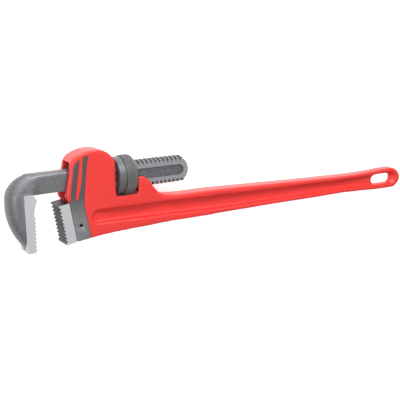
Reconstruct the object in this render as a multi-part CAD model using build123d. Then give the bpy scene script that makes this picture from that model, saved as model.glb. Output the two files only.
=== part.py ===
from build123d import *

import math
import os

# A straight pipe wrench, lying on its side. Millimetres.
# While it is built, X runs along the handle from the hook jaw to the hang
# slot, Y points from the handle up to the shank of the hook jaw, and Z is the
# thickness. The shank's axis is the line Y = 0, Z = 0. At the end every piece
# moves so that the origin is under the centre of the whole wrench.

# ---- housing and handle ----
HOUSING_HALF = 15.5          # half the thickness of the jaw housing
HOUSING_TOP = 37.5           # crown of the arch above the shank axis
HOUSING_RIGHT = 141.5        # face that the nut pushes on
HORN_LEFT = 171.5            # other wall of the nut's window
HORN_TOP = -1.5
PASSAGE_HALF = 10.2          # half the width of the slot that the shank runs in
PASSAGE_FLOOR = -21.2
PASSAGE_CEILING = 18.8       # over the shank, next to the nut
POCKET_R = 27.2              # round pocket that the nut turns in
HANDLE_END = 593.0
BEAM_HALF_NEAR = 12.0        # half the width of the flanges, housing end
BEAM_HALF_FAR = 10.0         # half the width of the flanges, slot end
BEAM_HALF_TIP = 8.5          # half the thickness round the hang slot
WEB_HALF = 4.2
RECESS_END = 584.0
SLOT_CENTRE = (561.3, -51.3)
SLOT_LENGTH = 34.5
SLOT_WIDTH = 13.8
SEAT_TOP = (80.0, -24.0)     # heel jaw seat, its upper and lower end
SEAT_FOOT = (88.2, -73.5)

# ---- heel jaw ----
HEEL_HALF = 14.0
HEEL_DEPTH = 13.6            # from the seat to the tips of the teeth
HEEL_LENGTH = 50.0
HEEL_PITCH = 4.6
HEEL_TOOTH = 2.3
HEEL_TEETH = 10
TONGUE_HALF = 7.0
TONGUE_DEPTH = 14.0
TONGUE_FROM = 14.5           # measured down the seat
TONGUE_TO = 43.0
TONGUE_GAP = 0.1
PIN_DOWN = 31.5              # heel jaw pin, measured down the seat
PIN_BEHIND = 9.2             # and behind it
PIN_R = 2.4
PIN_HOLE_R = 2.45
PIN_INSET = 2.2              # the pin's ends lie below the housing's faces

# ---- hook jaw ----
BAR_HALF_WIDTH = 9.0
BAR_HALF_HEIGHT = 15.3
BAR_END = 244.5
HEAD_HALF = 12.4
BLOCK_HALF = 13.2            # the ground tooth block stands a little proud
HOOK_FACE = 36.0             # root line of the hook jaw's teeth
HOOK_PITCH = 4.85
HOOK_TOOTH = 2.0
HOOK_TEETH = 9
HOOK_TEETH_TOP = -34.5
HOOK_TIP = -80.0
BAR_RECESS_FROM = 118.0
BAR_RECESS_TO = 238.0
BAR_RECESS_HALF = 6.6
BAR_RECESS_DEPTH = 1.6

# ---- thread of the shank and the nut ----
PITCH = 5.8
CREST_R = 17.0
ROOT_R = 14.5
GROOVE_AT_CREST = 3.6        # width of the groove between two thread teeth
GROOVE_AT_ROOT = 2.8
THREAD_FROM = 114.0
THREAD_TO = 241.0
NUT_CENTRE = 155.5
NUT_LENGTH = 24.0
COLLAR_R = 23.6
KNURL_R = 25.0
COLLAR_LENGTH = 8.5
NUT_CHAMFER = 2.2
NUT_GROOVE = 1.2
NUT_BORE_R = 17.4
THREAD_SHIFT = 1.5           # the groove over the nut's middle is this far on
RIDGE_TIP_R = 15.0
RIDGE_TIP = 1.3
RIDGE_FOOT = 2.4

# ---- springs ----
COIL_AT = 100.0
COIL_POCKET_R = 5.6
COIL_POCKET_FLOOR = -36.0
COIL_MEAN_R = 4.2
COIL_WIRE_R = 0.7
COIL_TURNS = 5.5
LEAF_HALF = 6.5
LEAF_THICK = 1.3
LEAF_RIVET_AT = 113.0
RIVET_R = 2.2
RIVET_HEAD_R = 3.4
RIVET_FOOT = 24.6            # how high its stem and its head begin
RIVET_HEAD_FOOT = 24.2
RIVET_LENGTH = 9.6
RIVET_HEAD_HEIGHT = 1.6

ON_FOOT = (Align.CENTER, Align.CENTER, Align.MIN)


def outline(*pieces):
    """A flat face from the edges of a closed outline, joined end to end."""
    return make_face([edge for piece in pieces for edge in piece.edges()])


def polygon(points):
    return make_face(Polyline(*points, close=True))


def slab(face, low, high):
    """A face on the XY plane, made a solid from z = low to z = high."""
    return Pos(0, 0, low) * extrude(face, amount=high - low)


def upright(solid):
    """Turn a solid that stands along Z, so that it stands along Y."""
    return Rot(-90, 0, 0) * solid


def both_sides(half_solid):
    return half_solid + mirror(half_solid, about=Plane.XY)


def cylinder_along_x(radius, start, end):
    plane = Plane(origin=(start, 0, 0), x_dir=(0, 1, 0), z_dir=(1, 0, 0))
    return extrude(plane * Circle(radius), amount=end - start)


def plan_solid(face):
    """A solid standing along Y, from a face drawn in X and Z."""
    plane = Plane(origin=(0, 60, 0), x_dir=(1, 0, 0), z_dir=(0, -1, 0))
    return extrude(plane * face, amount=160)


def seat_frame():
    """The heel jaw's own plane: x runs down the seat, y towards the hook jaw."""
    down = Vector(*SEAT_FOOT) - Vector(*SEAT_TOP)
    return Plane(origin=(*SEAT_TOP, 0), x_dir=(down.X, down.Y, 0), z_dir=(0, 0, -1))


# ---- the cast handle with its housing, horn and beam ----
def handle_outline():
    cheek = Spline(
        (79.5, -23.0),
        (75.8, -18.5),
        (76.8, -8.0),
        (79.4, 4.0),
        (81.6, 14.0),
        (83.0, 23.5),
    )
    arch = Spline(
        (83.0, 23.5),
        (86.6, 28.6),
        (95.0, 33.8),
        (105.0, 36.8),
        (114.0, HOUSING_TOP),
        (123.5, 36.6),
        (132.0, 32.6),
        (138.2, 26.6),
        (HOUSING_RIGHT, 20.0),
    )
    window = Polyline(
        (HOUSING_RIGHT, 20.0),
        (HOUSING_RIGHT, -22.0),
        (HORN_LEFT, -22.0),
        (HORN_LEFT, HORN_TOP),
        (177.5, HORN_TOP),
    )
    horn = Spline(
        (177.5, HORN_TOP),
        (184.5, -5.0),
        (190.5, -12.0),
        (198.5, -22.2),
        (206.0, -28.2),
        (218.0, -31.2),
        (250.0, -32.0),
        (307.0, -32.9),
        (357.0, -34.6),
        (411.0, -36.4),
        (461.0, -37.8),
        (505.0, -38.6),
        (532.0, -38.2),
        (558.0, -36.8),
        (575.0, -36.2),
    )
    tip = Spline(
        (575.0, -36.2),
        (583.8, -38.2),
        (590.4, -43.8),
        (HANDLE_END, -51.0),
        (590.8, -58.6),
        (585.0, -63.8),
        (576.0, -65.6),
        tangents=[(1, 0), (-1, 0)],
    )
    belly = Spline(
        (576.0, -65.6),
        (556.0, -65.4),
        (532.0, -64.3),
        (500.0, -62.8),
        (448.0, -62.9),
        (346.0, -63.9),
        (245.0, -65.6),
        (119.0, -69.6),
        SEAT_FOOT,
        tangents=[(-1, 0), (-1, -0.13)],
    )
    seat = Polyline(SEAT_FOOT, SEAT_TOP, (79.5, -23.0))
    return outline(cheek, arch, window, horn, tip, belly, seat)


def handle_plan():
    points = [
        (174.0, HOUSING_HALF),
        (202.0, BEAM_HALF_NEAR + 0.7),
        (232.0, BEAM_HALF_NEAR),
        (380.0, (BEAM_HALF_NEAR + BEAM_HALF_FAR) / 2),
        (515.0, BEAM_HALF_FAR),
        (545.0, BEAM_HALF_TIP + 0.2),
        (600.0, BEAM_HALF_TIP),
    ]
    flat = [(1, 0), (1, 0)]
    flank = Spline(*points, tangents=flat)
    other = Spline(*[(x, -z) for x, z in points], tangents=flat)
    ends = Polyline(
        (174.0, HOUSING_HALF),
        (60.0, HOUSING_HALF),
        (60.0, -HOUSING_HALF),
        (174.0, -HOUSING_HALF),
    )
    tip = Line((600.0, BEAM_HALF_TIP), (600.0, -BEAM_HALF_TIP))
    return plan_solid(outline(flank, tip, other, ends))


def web_recess():
    """The hollow on one side of the I-beam, shallow at its housing end."""
    top = Spline(
        (117.0, -37.6),
        (167.0, -37.8),
        (217.0, -39.0),
        (260.0, -40.3),
        (319.0, -41.8),
        (398.0, -42.9),
        (460.0, -43.8),
        (530.0, -44.0),
        (560.0, -43.5),
        (RECESS_END - 8, -43.3),
    )
    bottom = Spline(
        (RECESS_END - 8, -59.3),
        (560.0, -59.2),
        (530.0, -57.8),
        (460.0, -56.8),
        (398.0, -57.2),
        (319.0, -57.8),
        (260.0, -57.0),
        (217.0, -55.6),
        (167.0, -54.0),
        (117.0, -53.4),
    )
    far_end = ThreePointArc(
        (RECESS_END - 8, -43.3),
        (RECESS_END, -51.3),
        (RECESS_END - 8, -59.3),
    )
    near_end = ThreePointArc((117.0, -53.4), (109.0, -45.5), (117.0, -37.6))
    side = slab(outline(top, far_end, bottom, near_end), 0, 30)
    ramp = Spline(
        (100.0, 13.2),
        (118.0, 10.4),
        (150.0, 7.4),
        (200.0, WEB_HALF + 0.8),
        (250.0, WEB_HALF),
        tangents=[(1, -0.2), (1, 0)],
    )
    rest = Polyline(
        (250.0, WEB_HALF),
        (600.0, WEB_HALF),
        (600.0, 30.0),
        (100.0, 30.0),
        (100.0, 13.2),
    )
    return side & plan_solid(outline(ramp, rest))


def shank_passage():
    ceiling = Spline(
        (83.5, 24.0),
        (95.0, 27.6),
        (111.0, 30.0),
        (124.0, 28.0),
        (132.5, 21.5),
        (136.5, PASSAGE_CEILING),
    )
    rest = Polyline(
        (136.5, PASSAGE_CEILING),
        (156.0, PASSAGE_CEILING),
        (156.0, 60.0),
        (230.0, 60.0),
        (230.0, PASSAGE_FLOOR),
        (92.0, PASSAGE_FLOOR),
        (79.0, -25.0),
        (60.0, -25.0),
        (60.0, 24.0),
        (83.5, 24.0),
    )
    return slab(outline(ceiling, rest), -PASSAGE_HALF, PASSAGE_HALF)


def make_handle():
    body = slab(handle_outline(), -HOUSING_HALF, HOUSING_HALF) & handle_plan()
    recess = web_recess()
    body = body - recess - mirror(recess, about=Plane.XY)
    body = body - cylinder_along_x(POCKET_R, HOUSING_RIGHT, HORN_LEFT)
    slot = SlotOverall(SLOT_LENGTH, SLOT_WIDTH)
    body = body - slab(Pos(*SLOT_CENTRE) * slot, -20, 20)
    return body


def cut_inside(body):
    """Everything inside the housing: passage, spring pocket, tongue slot, holes."""
    body = body - shank_passage()
    depth = PASSAGE_FLOOR + 2 - COIL_POCKET_FLOOR
    pocket = Pos(COIL_AT, COIL_POCKET_FLOOR, 0) * upright(Cylinder(COIL_POCKET_R, depth, align=ON_FOOT))
    body = body - pocket - tongue(TONGUE_GAP) - pin_shape(PIN_HOLE_R, HOUSING_HALF + 5)
    return body - rivet_shape(0.02)


# ---- heel jaw and its pin ----
def tongue(gap):
    """The heel jaw's tongue, or with a gap the slot that it sits in."""
    start = TONGUE_FROM - gap
    length = TONGUE_TO - TONGUE_FROM + 2 * gap
    depth = TONGUE_DEPTH + gap
    side = Pos(start + length / 2, -depth / 2) * Rectangle(length, depth)
    return extrude(seat_frame() * side, amount=TONGUE_HALF + gap, both=True)


def pin_shape(radius, half_length):
    spot = Pos(PIN_DOWN, -PIN_BEHIND) * Circle(radius)
    return extrude(seat_frame() * spot, amount=half_length, both=True)


def make_heel_jaw():
    root = HEEL_DEPTH - HEEL_TOOTH
    first = (HEEL_LENGTH - HEEL_TEETH * HEEL_PITCH) / 2
    points = [(0, 0), (0, HEEL_DEPTH), (first, HEEL_DEPTH)]
    for k in range(HEEL_TEETH):
        start = first + k * HEEL_PITCH
        points.append((start + 0.50 * HEEL_PITCH, root))
        points.append((start + 0.94 * HEEL_PITCH, HEEL_DEPTH))
        if k < HEEL_TEETH - 1:
            points.append((start + HEEL_PITCH, HEEL_DEPTH))
    points += [(HEEL_LENGTH, HEEL_DEPTH), (HEEL_LENGTH, 0)]
    block = extrude(seat_frame() * polygon(points), amount=HEEL_HALF, both=True)
    return block + tongue(0) - pin_shape(PIN_HOLE_R, HOUSING_HALF)


def make_heel_jaw_pin():
    """A rolled spring pin: a tube with a slit along it."""
    half = HOUSING_HALF - PIN_INSET
    pin = pin_shape(PIN_R, half) - pin_shape(PIN_R * 0.5, half + 1)
    slit = Pos(PIN_DOWN, -PIN_BEHIND - PIN_R) * Rectangle(0.5, 2 * PIN_R)
    return pin - extrude(seat_frame() * slit, amount=half + 1, both=True)


# ---- hook jaw ----
def hook_head():
    """The curved head of the hook, thicker at the tooth block than at the top."""
    outer = Spline(
        (62.0, BAR_HALF_HEIGHT),
        (44.0, BAR_HALF_HEIGHT),
        (31.0, 14.6),
        (20.5, 11.2),
        (11.5, 4.0),
        (6.2, -4.6),
        (4.6, -18.0),
        (5.4, -32.0),
        (8.6, -45.0),
        (14.0, -57.5),
        (21.5, -69.0),
        (27.5, -77.0),
    )
    tip = Spline(
        (27.5, -77.0),
        (31.0, HOOK_TIP + 0.3),
        (HOOK_FACE, HOOK_TIP),
        tangents=[(1, -1.2), (1, 0.05)],
    )
    inner = Polyline(
        (HOOK_FACE, HOOK_TIP),
        (HOOK_FACE, -34.0),
        (36.4, -27.0),
        (38.4, -21.5),
        (40.6, -16.4),
        (43.0, 0.3 - BAR_HALF_HEIGHT),
        (50.0, 0.3 - BAR_HALF_HEIGHT),
        (50.0, 12.0),
        (62.0, 12.0),
        (62.0, BAR_HALF_HEIGHT),
    )
    side = slab(outline(outer, tip, inner), -20, 20)
    front = [
        (18, BAR_HALF_WIDTH),
        (10, BAR_HALF_WIDTH),
        (4, 9.8),
        (-4, 11.4),
        (-12, HEAD_HALF),
        (-60, HEAD_HALF),
        (-84, 11.6),
    ]
    face = Plane(origin=(0, 0, 0), x_dir=(0, 1, 0), z_dir=(1, 0, 0))
    ring = front + [(y, -z) for y, z in reversed(front)]
    head = side & extrude(face * polygon(ring), amount=70)
    return head & hook_plan()


def hook_plan():
    """Seen from above, the head is crowned at its back and slopes to the shank in front."""
    crown = [(2.0, 5.2), (5.5, 8.4), (10.0, 10.5), (16.0, 11.9), (23.0, HEAD_HALF)]
    back = Spline(*crown, tangents=[(0.5, 1), (1, 0)])
    other = Spline(*[(x, -z) for x, z in crown], tangents=[(0.5, -1), (1, 0)])
    low = BAR_HALF_WIDTH - 0.1
    slope = Polyline(
        (23.0, HEAD_HALF),
        (33.0, HEAD_HALF),
        (45.0, low),
        (70.0, low),
        (70.0, -low),
        (45.0, -low),
        (33.0, -HEAD_HALF),
        (23.0, -HEAD_HALF),
    )
    return plan_solid(outline(back, slope, other, Line((2.0, -5.2), (2.0, 5.2))))


def tooth_block():
    points = [
        (26.2, HOOK_TIP + 0.6),
        (25.0, -50.0),
        (24.4, -20.0),
        (24.6, -8.6),
        (35.4, -8.4),
        (40.2, -15.6),
        (38.2, -21.5),
        (36.4, -27.0),
        (HOOK_FACE, -33.0),
    ]
    for k in range(HOOK_TEETH):
        top = HOOK_TEETH_TOP - k * HOOK_PITCH
        points.append((HOOK_FACE, top))
        points.append((HOOK_FACE + HOOK_TOOTH, top - 0.56 * HOOK_PITCH))
        points.append((HOOK_FACE + HOOK_TOOTH, top - 0.66 * HOOK_PITCH))
    points.append((HOOK_FACE, HOOK_TEETH_TOP - HOOK_TEETH * HOOK_PITCH))
    points.append((HOOK_FACE, HOOK_TIP + 0.3))
    return slab(polygon(points), -BLOCK_HALF, BLOCK_HALF)


def thread_teeth():
    """The teeth on both edges of the shank, at the thread's lead angle."""
    lead = math.degrees(math.atan(PITCH / (2 * math.pi * (CREST_R + ROOT_R) / 2)))
    foot = (PITCH - GROOVE_AT_ROOT) / 2
    crest = (PITCH - GROOVE_AT_CREST) / 2
    low = BAR_HALF_WIDTH - 2.0
    tooth = polygon(
        [
            (-foot, low),
            (-foot, ROOT_R),
            (-crest, CREST_R),
            (crest, CREST_R),
            (foot, ROOT_R),
            (foot, low),
        ]
    )
    upper = Rot(0, lead, 0) * slab(tooth, -2 * BAR_HALF_WIDTH, 2 * BAR_HALF_WIDTH)
    lower = Rot(180, 0, 0) * upper
    first_groove = NUT_CENTRE + THREAD_SHIFT
    teeth = []
    k_low = math.floor((THREAD_FROM - first_groove) / PITCH)
    k_high = math.ceil((THREAD_TO - first_groove) / PITCH)
    for k in range(k_low, k_high):
        crest_at = first_groove + (k + 0.5) * PITCH
        if THREAD_FROM < crest_at < THREAD_TO:
            teeth.append(Pos(crest_at, 0, 0) * upper)
        if THREAD_FROM < crest_at + PITCH / 2 < THREAD_TO:
            teeth.append(Pos(crest_at + PITCH / 2, 0, 0) * lower)
    return teeth


def shank_outline(half_height):
    round_from = BAR_END - 9.5
    end = ThreePointArc((round_from, half_height), (BAR_END, 0), (round_from, -half_height))
    sides = Polyline(
        (round_from, -half_height),
        (30.0, -half_height),
        (30.0, half_height),
        (round_from, half_height),
    )
    return outline(end, sides)


def make_shank():
    whole = slab(shank_outline(BAR_HALF_HEIGHT), -BAR_HALF_WIDTH, BAR_HALF_WIDTH)
    plain = whole & Pos(70, 0, 0) * Box(2 * (THREAD_FROM - 70), 80, 80)
    plain = fillet(plain.edges().filter_by(Axis.X), 2.2)
    teeth = whole & cylinder_along_x(ROOT_R, THREAD_FROM - 8, 260)
    tall = slab(shank_outline(CREST_R), -BAR_HALF_WIDTH, BAR_HALF_WIDTH)
    limit = tall & cylinder_along_x(CREST_R, THREAD_FROM - 8, 260)
    for tooth in thread_teeth():
        teeth = teeth + (tooth & limit)
    length = BAR_RECESS_TO - BAR_RECESS_FROM
    middle = (BAR_RECESS_TO + BAR_RECESS_FROM) / 2
    recess = Pos(middle, 0) * SlotOverall(length, 2 * BAR_RECESS_HALF)
    cut = both_sides(slab(recess, BAR_HALF_WIDTH - BAR_RECESS_DEPTH, BAR_HALF_WIDTH + 5))
    return (plain + teeth) - cut


def make_hook_jaw():
    return hook_head() + tooth_block() + make_shank()


# ---- adjusting nut ----
def make_nut():
    left = NUT_CENTRE - NUT_LENGTH / 2
    right = NUT_CENTRE + NUT_LENGTH / 2
    seam = left + COLLAR_LENGTH
    points = [
        (left, NUT_BORE_R),
        (left, COLLAR_R - 0.8),
        (left + 0.8, COLLAR_R),
        (seam, COLLAR_R),
        (seam, COLLAR_R - 0.8),
        (seam + NUT_GROOVE, COLLAR_R - 0.8),
        (seam + NUT_GROOVE, KNURL_R - 0.5),
        (seam + NUT_GROOVE + 0.5, KNURL_R),
        (right - NUT_CHAMFER, KNURL_R),
        (right, KNURL_R - NUT_CHAMFER),
        (right, NUT_BORE_R),
    ]
    ring = revolve(polygon(points), axis=Axis.X)
    turns = NUT_LENGTH / PITCH + 2
    start = NUT_CENTRE + THREAD_SHIFT - math.ceil(turns / 2) * PITCH
    middle_r = (RIDGE_TIP_R + NUT_BORE_R) / 2
    base = Plane(origin=(start, 0, 0), x_dir=(0, 1, 0), z_dir=(1, 0, 0))
    path = base * Helix(PITCH, (2 * math.ceil(turns / 2)) * PITCH, middle_r)
    section = polygon(
        [
            (start - RIDGE_TIP / 2, RIDGE_TIP_R),
            (start + RIDGE_TIP / 2, RIDGE_TIP_R),
            (start + RIDGE_FOOT / 2, NUT_BORE_R + 0.6),
            (start - RIDGE_FOOT / 2, NUT_BORE_R + 0.6),
        ]
    )
    ridge = sweep(section, path=path, is_frenet=True)
    shell = cylinder_along_x(NUT_BORE_R + 1.2, left, right)
    return ring + (ridge & shell)


# ---- springs ----
def make_coil_spring():
    low = COIL_POCKET_FLOOR + COIL_WIRE_R + 0.05
    high = -CREST_R - COIL_WIRE_R - 0.3
    pitch = (high - low) / COIL_TURNS
    base = Plane(origin=(COIL_AT, low, 0), x_dir=(1, 0, 0), z_dir=(0, 1, 0))
    path = base * Helix(pitch, high - low, COIL_MEAN_R)
    start = Plane(origin=path @ 0, z_dir=path % 0)
    return sweep(start * Circle(COIL_WIRE_R), path=path, is_frenet=True)


def leaf_line(lift):
    """The bowed line of the leaf spring, raised by lift."""
    spots = [(93.0, 19.0), (100.0, 23.0), (LEAF_RIVET_AT, 28.2), (123.0, 24.4), (129.5, 19.0)]
    return [(x, y + lift) for x, y in spots]


def make_flat_spring():
    low = leaf_line(-LEAF_THICK)
    high = leaf_line(0)
    face = outline(
        Spline(*low),
        Line(low[-1], high[-1]),
        Spline(*reversed(high)),
        Line(high[0], low[0]),
    )
    hole = Pos(LEAF_RIVET_AT, 0, 0) * Rot(90, 0, 0) * Cylinder(RIVET_R + 0.1, 120)
    return slab(face, -LEAF_HALF, LEAF_HALF) - hole


def rivet_shape(gap):
    radius = RIVET_R + gap
    stem = upright(Cylinder(radius, RIVET_LENGTH + gap, align=ON_FOOT))
    return Pos(LEAF_RIVET_AT, RIVET_FOOT, 0) * stem


def make_leaf_rivet():
    head = upright(Cone(RIVET_HEAD_R - 1.2, RIVET_HEAD_R, RIVET_HEAD_HEIGHT, align=ON_FOOT))
    return rivet_shape(0) + Pos(LEAF_RIVET_AT, RIVET_HEAD_FOOT, 0) * head


def build():
    return {
        "handle": cut_inside(make_handle()),
        "heel_jaw": make_heel_jaw(),
        "heel_jaw_pin": make_heel_jaw_pin(),
        "hook_jaw": make_hook_jaw(),
        "adjusting_nut": make_nut(),
        "coil_spring": make_coil_spring(),
        "flat_spring": make_flat_spring(),
        "leaf_rivet": make_leaf_rivet(),
    }


parts = build()
boxes = [solid.bounding_box() for solid in parts.values()]
low_x = min(box.min.X for box in boxes)
high_x = max(box.max.X for box in boxes)
low_y = min(box.min.Y for box in boxes)
high_y = max(box.max.Y for box in boxes)
low_z = min(box.min.Z for box in boxes)
shift = Pos(-(low_x + high_x) / 2, -(low_y + high_y) / 2, -low_z)
print("moved by", shift.position)

os.makedirs("parts", exist_ok=True)
for name, solid in parts.items():
    export_step(shift * solid, f"parts/{name}.step")
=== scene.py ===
import math

import bmesh
import bpy
import numpy as np
from mathutils import Matrix, Vector


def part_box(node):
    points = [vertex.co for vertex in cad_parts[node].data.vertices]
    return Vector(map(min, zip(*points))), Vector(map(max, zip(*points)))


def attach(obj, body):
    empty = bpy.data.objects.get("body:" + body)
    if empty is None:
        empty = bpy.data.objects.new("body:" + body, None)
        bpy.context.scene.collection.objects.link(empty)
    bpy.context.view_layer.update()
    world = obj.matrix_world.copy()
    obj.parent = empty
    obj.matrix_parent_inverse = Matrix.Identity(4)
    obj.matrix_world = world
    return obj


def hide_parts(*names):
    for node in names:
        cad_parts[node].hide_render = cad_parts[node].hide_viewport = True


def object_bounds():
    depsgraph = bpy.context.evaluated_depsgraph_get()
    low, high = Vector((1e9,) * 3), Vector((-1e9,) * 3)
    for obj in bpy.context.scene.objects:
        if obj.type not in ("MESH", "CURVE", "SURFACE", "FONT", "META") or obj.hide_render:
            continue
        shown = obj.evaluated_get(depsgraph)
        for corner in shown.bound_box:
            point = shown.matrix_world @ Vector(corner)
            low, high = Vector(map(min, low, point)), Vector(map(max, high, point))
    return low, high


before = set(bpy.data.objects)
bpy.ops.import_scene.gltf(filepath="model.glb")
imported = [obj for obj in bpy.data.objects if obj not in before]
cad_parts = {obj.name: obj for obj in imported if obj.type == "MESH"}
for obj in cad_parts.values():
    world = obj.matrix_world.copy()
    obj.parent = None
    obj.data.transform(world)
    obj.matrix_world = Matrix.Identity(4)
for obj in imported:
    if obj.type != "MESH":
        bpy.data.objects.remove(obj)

bl_info = {
    "name": "Pipe wrench finish",
    "version": (1, 0, 0),
    "blender": (4, 5, 0),
    "location": "View3D > Sidebar > Wrench",
    "description": "Builds the cast, forged and ground finish of a pipe wrench",
    "category": "Object",
}

MM = 0.001

# The box of the whole fixed model, and the places that the pieces are set out from.
CAD_LOW, CAD_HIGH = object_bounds()
NUT_LOW, NUT_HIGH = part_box("adjusting_nut")
HANDLE_LOW, HANDLE_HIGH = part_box("handle")
HOOK_LOW, HOOK_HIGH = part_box("hook_jaw")
HEEL_LOW, HEEL_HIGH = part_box("heel_jaw")
NUT_MIDDLE = (NUT_LOW + NUT_HIGH) / 2
NUT_RADIUS = (NUT_HIGH.z - NUT_LOW.z) / 2
HOUSING_HALF = (HANDLE_HIGH.z - HANDLE_LOW.z) / 2

# Lengths along the shank are counted from this point on its axis, behind the back of the hook.
NUT_FROM_ZERO = 155.5 * MM
ZERO = NUT_MIDDLE - Vector((NUT_FROM_ZERO, 0, 0))

# Where the plain bar of the shank ends and its thread starts, and half its width, in millimetres.
THREAD_FROM = 113.0
SHANK_HALF = 9.0

# Half the thickness of the head beside its tooth block, the front of its steel under the block,
# and the lowest place of its tip there, in millimetres.
HEAD_HALF = 12.4
BEHIND_TEETH = 34.8
TIP_UNDER_BLOCK = -78.8

# How far the knurl's diamonds reach into the nut, and where their band begins and ends.
KNURL_SUNK = 0.12 * MM
KNURL_FROM_LEFT = 9.9 * MM
KNURL_FROM_RIGHT = 2.0 * MM

# Points between two given ones on the outline of the forked band.
CURVE_STEPS = 4


def spot(along, up, out=0.0):
    """A point given in millimetres along the shank, up from its axis and out to the side."""
    return ZERO + Vector((along, up, out)) * MM


def rulers(points):
    """Points of the model as millimetres along the shank, up and out."""
    return (points - np.array(ZERO)) / MM


# ---------------------------------------------------------------- mesh tools
def new_object(name, mesh):
    piece = bpy.data.objects.new(name, mesh)
    bpy.context.scene.collection.objects.link(piece)
    return piece


def points_of(mesh):
    points = np.empty(len(mesh.vertices) * 3, np.float32)
    mesh.vertices.foreach_get("co", points)
    return points.reshape(-1, 3).astype(float)


def set_points(mesh, points):
    mesh.vertices.foreach_set("co", points.astype(np.float32).ravel())
    mesh.update()


def merged_copy(node, name):
    """A copy of a fixed node with its loose triangles joined, as plain faces."""
    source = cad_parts[node].data
    shape = bmesh.new()
    mesh = bpy.data.meshes.new(name)
    mesh.from_pydata(
        [v.co[:] for v in source.vertices], [], [p.vertices[:] for p in source.polygons]
    )
    shape.from_mesh(mesh)
    bmesh.ops.remove_doubles(shape, verts=shape.verts, dist=0.002 * MM)
    bmesh.ops.recalc_face_normals(shape, faces=shape.faces)
    shape.to_mesh(mesh)
    shape.free()
    return new_object(name, mesh)


def bake_modifiers(piece):
    """Turns the piece and its modifiers into one plain mesh."""
    bpy.context.view_layer.update()
    graph = bpy.context.evaluated_depsgraph_get()
    mesh = bpy.data.meshes.new_from_object(piece.evaluated_get(graph))
    mesh.name = piece.name
    piece.modifiers.clear()
    piece.data = mesh
    return piece


def remesh(piece, voxel):
    even = piece.modifiers.new("even_faces", "REMESH")
    even.mode = "VOXEL"
    even.voxel_size = voxel
    even.use_smooth_shade = True
    return bake_modifiers(piece)


def relax(mesh, weight, passes):
    """Rounds the edges of an even mesh: each vertex moves towards its neighbours by its weight."""
    points = points_of(mesh)
    pairs = np.empty(len(mesh.edges) * 2, np.int32)
    mesh.edges.foreach_get("vertices", pairs)
    first, second = pairs.reshape(-1, 2).T
    count = np.bincount(first, minlength=len(points)) + np.bincount(second, minlength=len(points))
    count = np.maximum(count, 1)
    for _ in range(passes):
        total = np.empty_like(points)
        for axis in range(3):
            total[:, axis] = np.bincount(first, points[second, axis], len(points))
            total[:, axis] += np.bincount(second, points[first, axis], len(points))
        points += weight[:, None] * (total / count[:, None] - points)
    set_points(mesh, points)


def ease(value, start, end):
    """0 before start, 1 after end, and a smooth rise between."""
    share = np.clip((value - start) / (end - start), 0.0, 1.0)
    return share * share * (3 - 2 * share)


def curve_through(points, steps):
    """Points along a smooth open curve through the given ones (Catmull-Rom)."""
    known = [Vector(p) for p in points]
    known = [2 * known[0] - known[1]] + known + [2 * known[-1] - known[-2]]
    found = []
    for a, b, c, d in zip(known, known[1:], known[2:], known[3:]):
        for k in range(steps):
            t = k / steps
            found.append(
                0.5 * (2 * b + (c - a) * t + (2 * a - 5 * b + 4 * c - d) * t * t
                       + (3 * b - a - 3 * c + d) * t * t * t)
            )
    return found + [known[-2]]


def prism(name, outline, low, high):
    """A closed solid from an outline in millimetres, between two heights off the shank's plane."""
    shape = bmesh.new()
    base = [shape.verts.new(spot(p[0], p[1], low)) for p in outline]
    face = shape.faces.new(base)
    grown = bmesh.ops.extrude_face_region(shape, geom=[face])
    up = Vector((0, 0, (high - low) * MM))
    for item in grown["geom"]:
        if isinstance(item, bmesh.types.BMVert):
            item.co += up
    bmesh.ops.recalc_face_normals(shape, faces=shape.faces)
    mesh = bpy.data.meshes.new(name)
    shape.to_mesh(mesh)
    shape.free()
    return new_object(name, mesh)


def shade_by_angle(piece, degrees):
    piece.data.shade_smooth()
    piece.data.set_sharp_from_angle(angle=math.radians(degrees))


# ---------------------------------------------------------------- material tools
# The loaded model brings plain materials called after its slots.
# Each finish adds this to its name, so that the two are never mixed up.
FINISH = "_finish"


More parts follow.
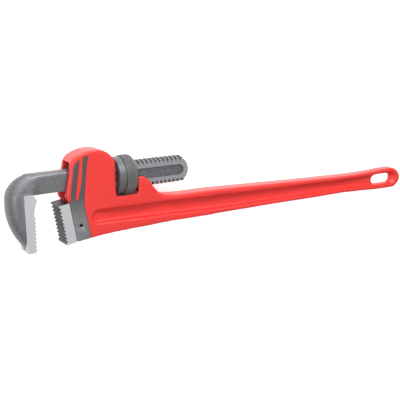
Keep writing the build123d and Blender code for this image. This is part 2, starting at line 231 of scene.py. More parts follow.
class Finish:
    """A material being built: its node tree, its shader and short calls to add nodes."""

    def __init__(self, name, colour, metallic, roughness):
        self.material = bpy.data.materials.new(name + FINISH)
        self.material.use_nodes = True
        self.tree = self.material.node_tree
        self.shader = self.tree.nodes["Principled BSDF"]
        self.shader.inputs["Base Color"].default_value = (*colour, 1)
        self.shader.inputs["Metallic"].default_value = metallic
        self.shader.inputs["Roughness"].default_value = roughness
        self.place = self.tree.nodes.new("ShaderNodeTexCoord").outputs["Object"]

    def add(self, kind, **values):
        node = self.tree.nodes.new(kind)
        for key, value in values.items():
            setattr(node, key, value)
        return node

    def join(self, source, target):
        self.tree.links.new(source, target)

    def noise(self, per_metre, detail=2.0, rough=0.5, stretch=None, turn=0.0):
        """Noise with that many cells per metre, drawn out along an axis if asked."""
        node = self.add("ShaderNodeTexNoise")
        node.inputs["Scale"].default_value = per_metre
        node.inputs["Detail"].default_value = detail
        node.inputs["Roughness"].default_value = rough
        if stretch is None:
            self.join(self.place, node.inputs["Vector"])
        else:
            mapping = self.add("ShaderNodeMapping")
            mapping.inputs["Rotation"].default_value = (0, 0, turn)
            mapping.inputs["Scale"].default_value = stretch
            self.join(self.place, mapping.inputs["Vector"])
            self.join(mapping.outputs["Vector"], node.inputs["Vector"])
        return node.outputs["Fac"]

    def spread(self, value, low, high, to_low, to_high):
        node = self.add("ShaderNodeMapRange")
        for key, number in (
            ("From Min", low), ("From Max", high), ("To Min", to_low), ("To Max", to_high)
        ):
            node.inputs[key].default_value = number
        self.join(value, node.inputs["Value"])
        return node.outputs["Result"]

    def mix(self, share, dark, light):
        node = self.add("ShaderNodeMix", data_type="RGBA")
        self.join(share, node.inputs["Factor"])
        for key, colour in (("A", dark), ("B", light)):
            socket = [s for s in node.inputs if s.name == key and s.type == "RGBA"][0]
            if isinstance(colour, bpy.types.NodeSocket):
                self.join(colour, socket)
            else:
                socket.default_value = (*colour, 1)
        return [s for s in node.outputs if s.type == "RGBA"][0]

    def colour(self, socket):
        self.join(socket, self.shader.inputs["Base Color"])

    def roughness(self, socket):
        self.join(socket, self.shader.inputs["Roughness"])

    def bump(self, heights):
        """Stacks bumps: each is a height, its strength and its depth in metres."""
        before = None
        for height, strength, depth in heights:
            node = self.add("ShaderNodeBump")
            node.inputs["Strength"].default_value = strength
            node.inputs["Distance"].default_value = depth
            self.join(height, node.inputs["Height"])
            if before is not None:
                self.join(before, node.inputs["Normal"])
            before = node.outputs["Normal"]
        self.join(before, self.shader.inputs["Normal"])


def shade(colour, factor):
    return tuple(channel * factor for channel in colour)


def red_enamel(colours):
    """Glossy enamel over a cast surface: slight orange peel, a darker film here and there."""
    base = colours.enamel[:]
    finish = Finish("red_enamel", base, 0.0, 0.42)
    broad = finish.noise(28, 3)
    finish.colour(finish.mix(finish.spread(broad, 0.3, 0.7, 0, 1), shade(base, 0.93), base))
    cast = finish.noise(420, 3, 0.55)
    fine = finish.noise(1900, 2)
    finish.roughness(finish.spread(cast, 0.3, 0.7, 0.38, 0.5))
    finish.bump([(cast, 0.25, 0.00035), (fine, 0.15, 0.00008)])
    finish.shader.inputs["Coat Weight"].default_value = 0.12
    finish.shader.inputs["Coat Roughness"].default_value = 0.18
    return finish.material


def forged_steel(colours):
    """Shot-blasted forging: grey, speckled, softly shining."""
    base = colours.forged[:]
    finish = Finish("forged_steel", base, 0.5, 0.44)
    speckle = finish.noise(560, 4, 0.7)
    cloud = finish.noise(60, 3, 0.55)
    speckled = finish.mix(
        finish.spread(speckle, 0.36, 0.66, 0, 1), shade(base, 0.7), shade(base, 1.3)
    )
    finish.colour(
        finish.mix(finish.spread(cloud, 0.35, 0.7, 0, 0.45), speckled, shade(base, 0.78))
    )
    finish.roughness(finish.spread(speckle, 0.3, 0.7, 0.40, 0.54))
    pits = finish.noise(900, 4, 0.6)
    finish.bump([(pits, 0.5, 0.00025), (speckle, 0.3, 0.0001)])
    return finish.material


def milled_steel(colours):
    """The shank's milled sides: paler than the forging, with faint lines along them."""
    base = colours.milled[:]
    finish = Finish("milled_steel", base, 0.45, 0.44)
    lines = finish.noise(300, 2, 0.6, stretch=(0.25, 3.0, 1.0))
    speckle = finish.noise(1300, 3, 0.6)
    lined = finish.mix(finish.spread(lines, 0.3, 0.7, 0, 1), shade(base, 0.88), shade(base, 1.08))
    finish.colour(finish.mix(finish.spread(speckle, 0.5, 0.75, 0, 0.6), lined, shade(base, 0.7)))
    finish.roughness(finish.spread(speckle, 0.3, 0.7, 0.38, 0.52))
    finish.bump([(lines, 0.15, 0.00003), (speckle, 0.2, 0.00004)])
    return finish.material


def hollow_steel(colours):
    """Forging skin left dark in the hollow along the shank."""
    base = colours.hollow[:]
    finish = Finish("hollow_steel", base, 0.45, 0.55)
    speckle = finish.noise(520, 4, 0.7)
    finish.colour(
        finish.mix(finish.spread(speckle, 0.36, 0.66, 0, 1), shade(base, 0.5), shade(base, 1.7))
    )
    finish.roughness(finish.spread(speckle, 0.3, 0.7, 0.5, 0.62))
    finish.bump([(speckle, 0.3, 0.0001)])
    return finish.material


def ground_steel(colours):
    """Machine-ground steel with fine lines across the block."""
    base = colours.ground[:]
    finish = Finish("ground_steel", base, 0.12, 0.4)
    lines = finish.noise(260, 2, 0.6, stretch=(1.0, 14.0, 1.0), turn=0.16)
    cloud = finish.noise(70, 2)
    lined = finish.mix(finish.spread(lines, 0.3, 0.7, 0, 1), shade(base, 0.90), shade(base, 1.05))
    finish.colour(
        finish.mix(finish.spread(cloud, 0.35, 0.7, 0, 0.3), lined, shade(base, 0.86))
    )
    finish.roughness(finish.spread(lines, 0.3, 0.7, 0.30, 0.46))
    finish.bump([(lines, 0.2, 0.00004)])
    return finish.material


def tooth_steel(colours):
    """Hardened teeth, dark from the quench, speckled paler and darker."""
    base = colours.teeth[:]
    finish = Finish("tooth_steel", base, 0.6, 0.42)
    speckle = finish.noise(1100, 3, 0.6)
    finish.colour(
        finish.mix(finish.spread(speckle, 0.35, 0.7, 0, 1), shade(base, 0.75), shade(base, 1.4))
    )
    finish.roughness(finish.spread(speckle, 0.3, 0.7, 0.36, 0.5))
    finish.bump([(speckle, 0.3, 0.00008)])
    return finish.material


def band_steel(colours):
    """Bare satin metal in the forked band, darker towards the tips of the fork."""
    base = colours.band[:]
    finish = Finish("band_steel", base, 0.35, 0.44)
    split = finish.add("ShaderNodeSeparateXYZ")
    finish.join(finish.place, split.inputs["Vector"])
    low = spot(0, -48).y
    high = spot(0, -16).y
    rise = finish.spread(split.outputs["Y"], low, high, 0, 1)
    lines = finish.noise(240, 3, 0.6, stretch=(9.0, 1.0, 1.0), turn=-0.12)
    lined = finish.mix(finish.spread(lines, 0.3, 0.7, 0, 1), shade(base, 0.84), shade(base, 1.12))
    finish.colour(finish.mix(rise, lined, shade(base, 0.42)))
    finish.roughness(finish.spread(lines, 0.3, 0.7, 0.38, 0.5))
    grain = finish.noise(1300, 3)
    finish.bump([(lines, 0.15, 0.00004), (grain, 0.2, 0.00005)])
    return finish.material


def nut_steel(colours):
    """Turned steel with a dull grey finish and rings left by the lathe."""
    base = colours.nut[:]
    finish = Finish("nut_steel", base, 0.4, 0.48)
    rings = finish.noise(420, 2, 0.6, stretch=(6.0, 0.6, 0.6))
    cloud = finish.noise(110, 3)
    ringed = finish.mix(finish.spread(rings, 0.3, 0.7, 0, 1), shade(base, 0.82), shade(base, 1.12))
    finish.colour(
        finish.mix(finish.spread(cloud, 0.35, 0.7, 0, 0.5), ringed, shade(base, 0.72))
    )
    finish.roughness(finish.spread(rings, 0.3, 0.7, 0.42, 0.56))
    finish.bump([(rings, 0.2, 0.00005)])
    return finish.material


def spring_steel(colours):
    """Oil-tempered spring steel, nearly black with a blue cast."""
    base = colours.spring[:]
    finish = Finish("spring_steel", base, 0.85, 0.34)
    scale = finish.noise(500, 3)
    finish.colour(
        finish.mix(finish.spread(scale, 0.3, 0.7, 0, 1), shade(base, 0.7), shade(base, 1.3))
    )
    finish.roughness(finish.spread(scale, 0.3, 0.7, 0.28, 0.44))
    finish.bump([(scale, 0.2, 0.00004)])
    return finish.material


def floor_white(strength):
    """A plain matt white floor that is lit a little from below, as a light table is."""
    finish = Finish("floor_white", (0.93, 0.93, 0.93), 0.0, 0.9)
    finish.shader.inputs["Specular IOR Level"].default_value = 0.1
    finish.shader.inputs["Emission Color"].default_value = (1, 1, 1, 1)
    finish.shader.inputs["Emission Strength"].default_value = strength
    return finish.material


MAKERS = {
    "red_enamel": red_enamel,
    "forged_steel": forged_steel,
    "milled_steel": milled_steel,
    "hollow_steel": hollow_steel,
    "ground_steel": ground_steel,
    "tooth_steel": tooth_steel,
    "band_steel": band_steel,
    "nut_steel": nut_steel,
    "spring_steel": spring_steel,
}


def material(name):
    """The named material, made from the scene's colours the first time it is asked for."""
    found = bpy.data.materials.get(name + FINISH)
    if found is None:
        found = MAKERS[name](bpy.context.scene.wrench_colours)
    return found


def dress(piece, *names):
    piece.data.materials.clear()
    for name in names:
        piece.data.materials.append(material(name))


def dress_node(node, name):
    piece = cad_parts[node]
    dress(piece, name)


# ---------------------------------------------------------------- settings
def length_setting(name, description, default, low=0.0, high=2.0):
    return bpy.props.FloatProperty(
        name=name, description=description, default=default, min=low, max=high,
        subtype="DISTANCE", unit="LENGTH", precision=5,
    )


def colour_setting(name, description, default):
    return bpy.props.FloatVectorProperty(
        name=name, description=description, default=default, size=3, min=0.0, max=1.0,
        subtype="COLOR",
    )


class WrenchColours(bpy.types.PropertyGroup):
    enamel: colour_setting("Enamel", "Paint on the cast handle", (0.80, 0.038, 0.032))
    forged: colour_setting(
        "Forged steel", "Shot-blasted steel of the hook jaw", (0.195, 0.195, 0.207)
    )
    milled: colour_setting("Milled steel", "Milled sides of the shank", (0.36, 0.36, 0.385))
    hollow: colour_setting("Hollow", "Dark hollow along the shank", (0.13, 0.13, 0.14))
    ground: colour_setting(
        "Ground steel", "Ground sides of both jaws' tooth blocks", (0.53, 0.53, 0.56)
    )
    teeth: colour_setting("Teeth", "Hardened faces of the teeth", (0.075, 0.075, 0.088))
    band: colour_setting("Bare band", "Bare metal of the forked band", (0.23, 0.245, 0.24))
    nut: colour_setting("Nut", "Turned steel of the adjusting nut", (0.165, 0.165, 0.17))
    spring: colour_setting("Springs", "Oil-tempered spring steel", (0.045, 0.045, 0.055))


class HandleSettings(bpy.types.PropertyGroup):
    voxel: length_setting(
        "Face size", "Size of the casting's even faces", 1.12 * MM, 0.5 * MM, 5 * MM
    )
    passes: bpy.props.IntProperty(
        name="Rounding", description="How far the edges of the casting are rounded", default=14,
        min=0, max=60,
    )
    band_depth: length_setting("Band depth", "How deep the forked band lies in the side", 0.7 * MM)


class HookSettings(bpy.types.PropertyGroup):
    voxel: length_setting(
        "Face size", "Size of the forging's even faces", 0.78 * MM, 0.4 * MM, 5 * MM
    )
    passes: bpy.props.IntProperty(
        name="Rounding", description="How far the edges of the forging are rounded", default=22,
        min=0, max=60,
    )
    back_radius: length_setting(
        "Back radius", "How deep the round at the back of the head goes", 13 * MM, 2 * MM
    )
    edge: length_setting("Block edge", "Width of the bevel on the ground tooth blocks", 0.35 * MM)


class NutSettings(bpy.types.PropertyGroup):
    columns: bpy.props.IntProperty(
        name="Columns", description="Diamonds round the nut", default=64, min=8, max=200
    )
    rows: bpy.props.IntProperty(
        name="Rows", description="Rows of diamonds along the nut", default=8, min=1, max=30
    )
    height: length_setting("Height", "How far the diamonds of the knurl stand up", 0.6 * MM)


class StageSettings(bpy.types.PropertyGroup):
    distance: length_setting(
        "Distance", "From the camera to the point that it looks at", 1.3002, 0.2, 20
    )
    turn: bpy.props.FloatProperty(
        name="Turn", description="Camera's turn about the wrench's short axis",
        default=math.radians(28.87), subtype="ANGLE", unit="ROTATION",
    )
    tilt: bpy.props.FloatProperty(
        name="Tilt", description="Camera's height above the wrench's long axis",
        default=math.radians(13.23), subtype="ANGLE", unit="ROTATION",
    )
    roll: bpy.props.FloatProperty(
        name="Roll", description="Camera's roll about its own line of sight",
        default=math.radians(-0.86), subtype="ANGLE", unit="ROTATION",
    )
    lens: bpy.props.FloatProperty(
        name="Lens", description="Focal length on a 36 mm sensor, in millimetres", default=90.0,
        min=10, max=300, subtype="DISTANCE_CAMERA",
    )
    sky: bpy.props.FloatProperty(
        name="Sky", description="Strength of the even light from all round", default=0.36,
        min=0, max=10,
    )
    glow: bpy.props.FloatProperty(
        name="Floor glow", description="Light that the floor gives out itself", default=0.62,
        min=0, max=5,
    )


# ---------------------------------------------------------------- handle
def fork_outline():
    """The forked band on the housing's side, as one outline in millimetres."""
    left = curve_through(
        [(93.4, 27.8), (89.1, 23.2), (86.4, 16.3), (84.4, 4.3), (82.5, -7.6), (80.9, -19.7),
         (80.4, -25.4)], CURVE_STEPS
    )
    foot = [Vector(p) for p in ((77.0, -25.9), (84.0, -76.0), (104.9, -76.0))]
    right = curve_through(
        [(105.6, -66.6), (103.7, -53.7), (101.0, -40.9), (99.2, -29.5), (99.2, -22.0),
         (100.4, -9.8), (101.6, 2.3), (103.2, 14.4), (104.6, 24.3), (106.0, 29.4)], CURVE_STEPS
    )
    cap = [Vector(p) for p in ((105.6, 30.9), (103.8, 31.5), (101.0, 31.1), (99.4, 29.6))]
    finger_right = curve_through(
        [(98.6, 26.6), (97.6, 15.0), (96.3, 2.9), (94.0, -9.0), (91.0, -20.4)], CURVE_STEPS
    )
    finger_tip = [Vector(p) for p in ((90.2, -22.0), (89.2, -22.2), (88.6, -21.0))]
    finger_left = curve_through(
        [(88.0, -16.6), (90.2, -2.5), (92.3, 9.5), (94.0, 21.0), (94.6, 27.0)], CURVE_STEPS
    )
    return left + foot + right + cap + finger_right + finger_tip + finger_left


def casting_weights(points):
    """How freely each part of the casting may round: machined faces keep their edges."""
    along, up, out = rulers(points).T
    out = np.abs(out)
    weight = np.full(len(points), 0.6)
    inside = (along > 70) & (along < 150) & (out < 10.9) & (up > -37.5) & (up < 31)
    weight[inside] = 0.12
    window = (along > 139) & (along < 174) & (up > -24) & (up < 21)
    weight[window] = 0.3
    seat = np.abs(along - (80 + (-24 - up) * 8.2 / 49.5)) < 3.0
    weight[seat & (up < -22) & (out < 12)] = 0.15
    return weight


def cut_with(piece, cutter):
    cut = piece.modifiers.new("cut", "BOOLEAN")
    cut.operation = "DIFFERENCE"
    cut.solver = "EXACT"
    cut.object = cutter
    bake_modifiers(piece)
    bpy.data.objects.remove(cutter)
    return piece


def build_casting(settings):
    casting = merged_copy("handle", "handle_casting")
    remesh(casting, settings.voxel)
    points = points_of(casting.data)
    relax(casting.data, casting_weights(points), settings.passes)
    face = HOUSING_HALF / MM
    depth = settings.band_depth / MM
    outline = fork_outline()
    cut_with(casting, prism("upper_cut", outline, face - depth, face + 5))
    cut_with(casting, prism("lower_cut", outline, -face - 5, -face + depth))
    return casting


def within(outline, along, up):
    """Which points lie inside an outline, by counting the edges to one side of them."""
    inside = np.zeros(len(along), bool)
    for a, b in zip(outline, outline[1:] + outline[:1]):
        if a[1] == b[1]:
            continue
        crossing = a[0] + (up - a[1]) * (b[0] - a[0]) / (b[1] - a[1])
        inside ^= ((a[1] > up) != (b[1] > up)) & (along < crossing)
    return inside


def paint_band(casting):
    """Gives the forked band its bare metal, out to where it meets the seat and the belly."""
    mesh = casting.data
    centres = np.array([face.center[:] for face in mesh.polygons])
    facing = np.array([abs(face.normal.z) for face in mesh.polygons])
    along, up, out = rulers(centres).T
    side = (np.abs(out) > HOUSING_HALF / MM - 3.2) & (facing > 0.25)
    bare = side & within(fork_outline(), along, up)
    mesh.polygons.foreach_set("material_index", bare.astype(np.int32))


class WRENCH_OT_handle(bpy.types.Operator):
    """Builds the cast handle with its enamel and the bare forked band"""

    bl_idname = "wrench.handle"
    bl_label = "Cast handle"

    def execute(self, context):
        settings = context.scene.wrench_handle
        casting = build_casting(settings)
        dress(casting, "red_enamel", "band_steel")
        paint_band(casting)
        shade_by_angle(casting, 38)
        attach(casting, "handle")
        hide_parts("handle")
        return {"FINISHED"}


# ---------------------------------------------------------------- hook jaw
def side_plate(node, name, half):
    """The solid between the two parallel sides of a node that lie half its thickness out."""
    source = merged_copy(node, name)
    shape = bmesh.new()
    shape.from_mesh(source.data)
    top = ZERO.z + half
    flat = [f for f in shape.faces if all(abs(v.co.z - top) < 0.01 * MM for v in f.verts)]
    if not flat:
        raise RuntimeError(f"{node} has no side face {half / MM:.2f} mm out")
    keep = set(flat)
    bmesh.ops.delete(shape, geom=[f for f in shape.faces if f not in keep], context="FACES")
    bmesh.ops.dissolve_limit(
        shape, angle_limit=math.radians(1), verts=shape.verts, edges=shape.edges
    )
    grown = bmesh.ops.extrude_face_region(shape, geom=shape.faces[:])
    for item in grown["geom"]:
        if isinstance(item, bmesh.types.BMVert):
            item.co.z -= 2 * half
    bmesh.ops.recalc_face_normals(shape, faces=shape.faces)
    shape.to_mesh(source.data)
    shape.free()
    return source


def bevel_sides(piece, half, width):
    """Breaks the edges round both sides of a block, except between the teeth."""
    shape = bmesh.new()
    shape.from_mesh(piece.data)
    rim = [
        e for e in shape.edges
        if all(abs(abs(v.co.z - ZERO.z) - half) < 0.01 * MM for v in e.verts)
        and abs(e.verts[0].co.z - e.verts[1].co.z) < 0.01 * MM
        and e.calc_length() > 6 * width
    ]
    bmesh.ops.bevel(
        shape, geom=rim, offset=width, segments=2, profile=0.5, affect="EDGES", clamp_overlap=True
    )
    shape.to_mesh(piece.data)
    shape.free()


def cut_across(piece, along, side):
    """Keeps what lies on one side of a plane across the shank, and closes the cut."""
    shape = bmesh.new()
    shape.from_mesh(piece.data)
    cut = bmesh.ops.bisect_plane(
        shape, geom=shape.verts[:] + shape.edges[:] + shape.faces[:], dist=1e-7,
        plane_co=spot(along, 0), plane_no=(side, 0, 0), clear_inner=True,
    )
    rim = [item for item in cut["geom_cut"] if isinstance(item, bmesh.types.BMEdge)]
    bmesh.ops.holes_fill(shape, edges=rim, sides=0)
    bmesh.ops.recalc_face_normals(shape, faces=shape.faces)
    shape.to_mesh(piece.data)
    shape.free()
    return piece


def forging_weights(points):
    """The head rounds fully, the drawn bar behind it only at its edges."""
    along = rulers(points)[:, 0]
    head = 0.62 * (1 - ease(along, 50, 72)) + 0.3 * ease(along, 50, 72)
    return head * (1 - ease(along, 108, 112))


def back_of_head():
    """The outer line of the hook, from the top of the shank round to its tip."""
    return curve_through(
        [(118.0, 15.3), (90.0, 15.3), (62.0, 15.3), (44.0, 15.3), (31.0, 14.6), (20.5, 11.2),
         (11.5, 4.0), (6.2, -4.6), (4.6, -18.0), (5.4, -32.0), (8.6, -45.0), (14.0, -57.5),
         (21.5, -69.0), (27.5, -77.0)], 6
    )


def depth_behind(line, along, up):
    """How far each point lies inside the line, and the inward direction there."""
    depth = np.full(len(along), np.inf)
    inward = np.zeros((len(along), 2))
    for a, b in zip(line, line[1:]):
        step = np.array([b[0] - a[0], b[1] - a[1]])
        size = step @ step
        share = np.clip(((along - a[0]) * step[0] + (up - a[1]) * step[1]) / size, 0, 1)
        gap = np.hypot(along - a[0] - share * step[0], up - a[1] - share * step[1])
        closer = gap < depth
        depth[closer] = gap[closer]
        inward[closer] = np.array([-step[1], step[0]]) / math.sqrt(size)
    return depth, inward


def round_back(points, radius):
    """Bends the outer wall and the edge of each side into one smooth quarter round."""
    along, up, out = rulers(points).T
    depth, inward = depth_behind(back_of_head(), along, up)
    half = np.interp(up, [-12.0, -4.0, 4.0, 10.0], [HEAD_HALF, 11.4, 9.8, SHANK_HALF])
    half = half + (SHANK_HALF - half) * ease(along, 28, 46)
    crown = np.interp(along, [2.0, 5.5, 10.0, 16.0, 23.0], [5.2, 8.4, 10.5, 11.9, HEAD_HALF])
    wide = radius + (3.5 - radius) * ease(along, 22, 48)
    share_out = np.clip(np.abs(out) / np.minimum(half, crown), 0, 1)
    share_in = np.clip(depth / wide, 0, 1)
    on_wall = (depth < 0.8) & (share_out < 0.985)
    on_side = (share_out > 0.8) & (depth < wide) & ~on_wall
    angle = np.where(on_wall, share_out, 1 + share_in) * math.pi / 4
    sunk = wide * (1 - np.cos(angle)) - depth
    blend = (1 - ease(along, 110, 112.5)) * (on_wall | on_side)
    new_out = np.sign(out) * half * np.sin(angle)
    along = along + blend * sunk * inward[:, 0]
    up = up + blend * sunk * inward[:, 1]
    out = out + blend * (new_out - out)
    return np.array(ZERO) + np.stack((along, up, out), 1) * MM


def build_forging(settings):
    forging = cut_across(merged_copy("hook_jaw", "hook_forging"), THREAD_FROM, -1)
    remesh(forging, settings.voxel)
    points = points_of(forging.data)
    set_points(forging.data, round_back(points, settings.back_radius / MM))
    relax(forging.data, forging_weights(points), settings.passes)
    points = points_of(forging.data)
    along, up, out = rulers(points).T
    in_block = (up < -9.5) & (along > 25)
    out = np.where(in_block, np.clip(out, -HEAD_HALF, HEAD_HALF), out)
    along = np.where((up < -9.5) & (along > BEHIND_TEETH), BEHIND_TEETH, along)
    up = np.where(along > 26.5, np.maximum(up, TIP_UNDER_BLOCK), up)
    set_points(forging.data, np.array(ZERO) + np.stack((along, up, out), 1) * MM)
    return forging


def build_thread():
    """The threaded end of the shank: milled sides, a dark hollow in each, cut teeth."""
    thread = cut_across(merged_copy("hook_jaw", "threaded_shank"), THREAD_FROM, 1)
    dress(thread, "forged_steel", "milled_steel", "hollow_steel")
    along, up, out = rulers(np.array([face.center[:] for face in thread.data.polygons])).T
    facing = np.array([abs(face.normal.z) for face in thread.data.polygons])
    for face, u, v, w, flat in zip(thread.data.polygons, along, up, np.abs(out), facing):
        if flat > 0.99 and w > SHANK_HALF - 0.05:
            face.material_index = 1
        elif u > THREAD_FROM + 2 and abs(v) < 7.2 and SHANK_HALF - 1.8 < w < SHANK_HALF:
            face.material_index = 2
    shade_by_angle(thread, 30)
    return thread


class WRENCH_OT_hook_jaw(bpy.types.Operator):
    """Builds the forged hook jaw with its threaded shank and ground tooth block"""

    bl_idname = "wrench.hook_jaw"
    bl_label = "Hook jaw"

    def execute(self, context):
        settings = context.scene.wrench_hook
        forging = build_forging(settings)
        dress(forging, "forged_steel")
        forging.data.shade_smooth()
        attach(forging, "hook")
        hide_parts("hook_jaw")
        thread = build_thread()
        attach(thread, "hook")
        half = (HOOK_HIGH.z - HOOK_LOW.z) / 2
        block = side_plate("hook_jaw", "hook_tooth_block", half)
        bevel_sides(block, half, settings.edge)
        dress(block, "ground_steel", "tooth_steel")
        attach(block, "hook")
        return {"FINISHED"}


# ---------------------------------------------------------------- heel jaw
class WRENCH_OT_heel_jaw(bpy.types.Operator):
    """Builds the heel jaw's ground block with dark teeth, and finishes its pin"""

    bl_idname = "wrench.heel_jaw"
    bl_label = "Heel jaw"

    def execute(self, context):
        half = (HEEL_HIGH.z - HEEL_LOW.z) / 2
        width = context.scene.wrench_hook.edge
        block = side_plate("heel_jaw", "heel_tooth_block", half)
        bevel_sides(block, half, width)
        dress(block, "ground_steel", "tooth_steel")
        for face in block.data.polygons:
            if abs(face.normal.z) < 0.2 and face.normal.x < 0.5:
                face.material_index = 1
        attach(block, "handle")
        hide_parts("heel_jaw")
        dress_node("heel_jaw_pin", "spring_steel")
        return {"FINISHED"}


# ---------------------------------------------------------------- nut
def knurl_tree():
    """Diamonds of a knurl round the X axis, as a tree with its sizes as inputs."""
    tree = bpy.data.node_groups.new("knurl", "GeometryNodeTree")
    sockets = tree.interface
    for name, kind in (
        ("Columns", "NodeSocketInt"), ("Rows", "NodeSocketInt"), ("Radius", "NodeSocketFloat"),
        ("Start", "NodeSocketFloat"), ("Length", "NodeSocketFloat"), ("Height", "NodeSocketFloat"),
        ("Centre", "NodeSocketVector"), ("Material", "NodeSocketMaterial"),
    ):
        sockets.new_socket(name, in_out="INPUT", socket_type=kind)
    sockets.new_socket("Geometry", in_out="OUTPUT", socket_type="NodeSocketGeometry")

    def add(kind, **values):
        node = tree.nodes.new(kind)
        for key, value in values.items():
            setattr(node, key, value)
        return node

    def feed(node, key, value):
        if isinstance(value, bpy.types.NodeSocket):
            tree.links.new(value, node.inputs[key])
        else:
            node.inputs[key].default_value = value

    def maths(operation, first, second=0.0):
        node = add("ShaderNodeMath", operation=operation)
        feed(node, 0, first)
        feed(node, 1, second)
        return node.outputs[0]

    given = add("NodeGroupInput").outputs
    result = add("NodeGroupOutput")

    # One point for each diamond: the index gives its row and its place in the row.
    count = maths("MULTIPLY", given["Columns"], given["Rows"])
    line = add("GeometryNodePoints")
    feed(line, "Count", count)
    index = add("GeometryNodeInputIndex").outputs[0]
    row = maths("FLOOR", maths("DIVIDE", index, given["Columns"]))
    column = maths("SUBTRACT", index, maths("MULTIPLY", row, given["Columns"]))
    stagger = maths("MULTIPLY", maths("MODULO", row, 2.0), 0.5)
    angle = maths(
        "MULTIPLY", maths("DIVIDE", maths("ADD", column, stagger), given["Columns"]), 2 * math.pi
    )
    pitch = maths("DIVIDE", given["Length"], maths("ADD", given["Rows"], 1.0))
    along = maths("ADD", given["Start"], maths("MULTIPLY", maths("ADD", row, 1.0), pitch))
    radial = add("ShaderNodeCombineXYZ")
    feed(radial, "Y", maths("COSINE", angle))
    feed(radial, "Z", maths("SINE", angle))
    scaled = add("ShaderNodeVectorMath", operation="SCALE")
    feed(scaled, 0, radial.outputs[0])
    feed(scaled, "Scale", given["Radius"])
    lengthwise = add("ShaderNodeCombineXYZ")
    feed(lengthwise, "X", along)
    placed = add("ShaderNodeVectorMath", operation="ADD")
    feed(placed, 0, scaled.outputs[0])
    feed(placed, 1, lengthwise.outputs[0])
    centred = add("ShaderNodeVectorMath", operation="ADD")
    feed(centred, 0, placed.outputs[0])
    feed(centred, 1, given["Centre"])
    move = add("GeometryNodeSetPosition")
    feed(move, "Geometry", line.outputs[0])
    feed(move, "Position", centred.outputs[0])

    # A blunt four-sided pyramid, one unit wide each way before it is scaled.
    pyramid = add("GeometryNodeMeshCone")
    feed(pyramid, "Vertices", 4)
    feed(pyramid, "Radius Top", 0.12)
    feed(pyramid, "Radius Bottom", 1.0)
    feed(pyramid, "Depth", 1.0)
    around = add("FunctionNodeAxisAngleToRotation")
    feed(around, "Axis", (1.0, 0.0, 0.0))
    feed(around, "Angle", maths("SUBTRACT", angle, math.pi / 2))
    scale = add("ShaderNodeCombineXYZ")
    feed(scale, "X", pitch)
    half_width = maths("DIVIDE", maths("MULTIPLY", given["Radius"], math.pi), given["Columns"])
    feed(scale, "Y", half_width)
    feed(scale, "Z", given["Height"])
    put = add("GeometryNodeInstanceOnPoints")
    feed(put, "Points", move.outputs[0])
    feed(put, "Instance", pyramid.outputs["Mesh"])
    feed(put, "Rotation", around.outputs[0])
    feed(put, "Scale", scale.outputs[0])
    real = add("GeometryNodeRealizeInstances")
    feed(real, "Geometry", put.outputs[0])
    painted = add("GeometryNodeSetMaterial")
    feed(painted, "Geometry", real.outputs[0])
    feed(painted, "Material", given["Material"])
    feed(result, "Geometry", painted.outputs[0])
    return tree


def grow_from_tree(name, tree, values):
    """Runs a geometry tree with the given named inputs and returns the plain result."""
    piece = new_object(name, bpy.data.meshes.new(name))
    grow = piece.modifiers.new("grow", "NODES")
    grow.node_group = tree
    for socket in tree.interface.items_tree:
        if socket.in_out == "INPUT" and socket.name in values:
            grow[socket.identifier] = values[socket.name]
    return bake_modifiers(piece)


class WRENCH_OT_nut(bpy.types.Operator):
    """Builds the adjusting nut with its thread and diamond knurl"""

    bl_idname = "wrench.nut"
    bl_label = "Adjusting nut"

    def execute(self, context):
        settings = context.scene.wrench_nut
        body = merged_copy("adjusting_nut", "adjusting_nut_body")
        points = points_of(body.data)
        y = points[:, 1] - ZERO.y
        z = points[:, 2] - ZERO.z
        radius = np.hypot(y, z)
        ground = NUT_RADIUS - settings.height
        shrink = np.where(radius > ground, ground / np.maximum(radius, 1e-9), 1.0)
        points[:, 1] = ZERO.y + y * shrink
        points[:, 2] = ZERO.z + z * shrink
        set_points(body.data, points)
        dress(body, "nut_steel")
        shade_by_angle(body, 30)
        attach(body, "nut")
        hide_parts("adjusting_nut")

        start = NUT_LOW.x + KNURL_FROM_LEFT
        end = NUT_HIGH.x - KNURL_FROM_RIGHT
        height = settings.height + KNURL_SUNK
        knurl = grow_from_tree(
            "nut_knurl", knurl_tree(),
            {
                "Columns": settings.columns, "Rows": settings.rows,
                "Radius": ground - KNURL_SUNK, "Height": height,
                "Start": start, "Length": end - start,
                "Centre": (0.0, ZERO.y, ZERO.z), "Material": material("nut_steel"),
            },
        )
        if not knurl.data.polygons:
            raise RuntimeError("the knurl came out empty")
        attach(knurl, "nut")
        return {"FINISHED"}


# ---------------------------------------------------------------- springs
class WRENCH_OT_springs(bpy.types.Operator):
    """Finishes the coil spring, the flat spring and the rivet inside the housing"""

    bl_idname = "wrench.springs"
    bl_label = "Springs and rivet"

    def execute(self, context):
        for node in ("coil_spring", "flat_spring"):
            dress_node(node, "spring_steel")
        dress_node("leaf_rivet", "forged_steel")
        return {"FINISHED"}


# ---------------------------------------------------------------- stage
def add_light(name, place, target, size, watts):
    data = bpy.data.lights.new(name, "AREA")
    data.shape = "DISK"
    data.size = size
    data.energy = watts
    lamp = bpy.data.objects.new(name, data)
    bpy.context.scene.collection.objects.link(lamp)
    lamp.location = place
    lamp.rotation_euler = (Vector(target) - Vector(place)).to_track_quat("-Z", "Y").to_euler()


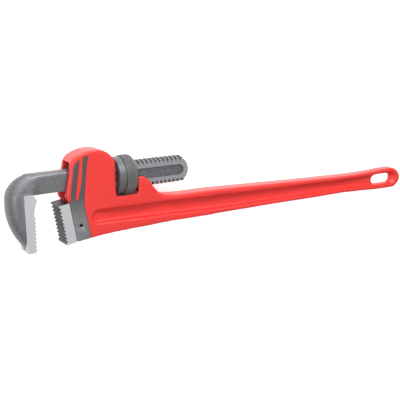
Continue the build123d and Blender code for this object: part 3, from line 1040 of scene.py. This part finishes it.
class WRENCH_OT_stage(bpy.types.Operator):
    """Sets up the pale floor, the soft studio light and the camera"""

    bl_idname = "wrench.stage"
    bl_label = "Stage"

    def execute(self, context):
        scene = context.scene
        settings = scene.wrench_stage
        shape = bmesh.new()
        bmesh.ops.create_grid(shape, x_segments=1, y_segments=1, size=3.0)
        mesh = bpy.data.meshes.new("floor")
        shape.to_mesh(mesh)
        shape.free()
        floor = new_object("floor", mesh)
        mesh.materials.append(floor_white(settings.glow))

        world = bpy.data.worlds.new("studio")
        world.use_nodes = True
        sky = world.node_tree.nodes["Background"]
        sky.inputs["Color"].default_value = (1, 1, 1, 1)
        sky.inputs["Strength"].default_value = settings.sky
        scene.world = world
        scene.view_settings.view_transform = "Standard"

        middle = (CAD_LOW + CAD_HIGH) / 2
        add_light("key", (0.1, 1.15, 0.95), middle, 0.7, 19)
        add_light("front", (-0.7, 0.1, 1.5), middle, 1.0, 9)

        data = bpy.data.cameras.new("camera")
        data.sensor_width = 36.0
        data.lens = settings.lens
        data.clip_start = 0.05
        camera = bpy.data.objects.new("camera", data)
        scene.collection.objects.link(camera)
        facing = (
            Matrix.Rotation(-settings.turn, 4, "Y")
            @ Matrix.Rotation(-settings.tilt, 4, "X")
            @ Matrix.Rotation(settings.roll, 4, "Z")
        )
        target = spot(266.2, -46.2)
        back = facing @ Vector((0, 0, settings.distance))
        camera.matrix_world = Matrix.Translation(target + back) @ facing
        scene.camera = camera
        return {"FINISHED"}


# ---------------------------------------------------------------- add-on
class WRENCH_PT_panel(bpy.types.Panel):
    """Lists the steps that finish the wrench"""

    bl_idname = "WRENCH_PT_panel"
    bl_label = "Pipe wrench"
    bl_space_type = "VIEW_3D"
    bl_region_type = "UI"
    bl_category = "Wrench"

    def draw(self, context):
        scene = context.scene
        for group in (
            scene.wrench_colours, scene.wrench_handle, scene.wrench_hook, scene.wrench_nut,
            scene.wrench_stage,
        ):
            box = self.layout.box()
            for name in group.__annotations__:
                box.prop(group, name)
        for operator in OPERATORS:
            self.layout.operator(operator.bl_idname)


OPERATORS = (
    WRENCH_OT_handle, WRENCH_OT_hook_jaw, WRENCH_OT_heel_jaw, WRENCH_OT_nut, WRENCH_OT_springs,
    WRENCH_OT_stage,
)
GROUPS = {
    "wrench_colours": WrenchColours,
    "wrench_handle": HandleSettings,
    "wrench_hook": HookSettings,
    "wrench_nut": NutSettings,
    "wrench_stage": StageSettings,
}


def register():
    for name, group in GROUPS.items():
        bpy.utils.register_class(group)
        setattr(bpy.types.Scene, name, bpy.props.PointerProperty(type=group))
    for kind in (*OPERATORS, WRENCH_PT_panel):
        bpy.utils.register_class(kind)


def unregister():
    for kind in reversed((*OPERATORS, WRENCH_PT_panel)):
        bpy.utils.unregister_class(kind)
    for name, group in GROUPS.items():
        delattr(bpy.types.Scene, name)
        bpy.utils.unregister_class(group)


def main():
    register()
    bpy.ops.wrench.handle()
    bpy.ops.wrench.hook_jaw()
    bpy.ops.wrench.heel_jaw()
    bpy.ops.wrench.nut()
    bpy.ops.wrench.springs()
    bpy.ops.wrench.stage()


if __name__ == "__main__":
    main()
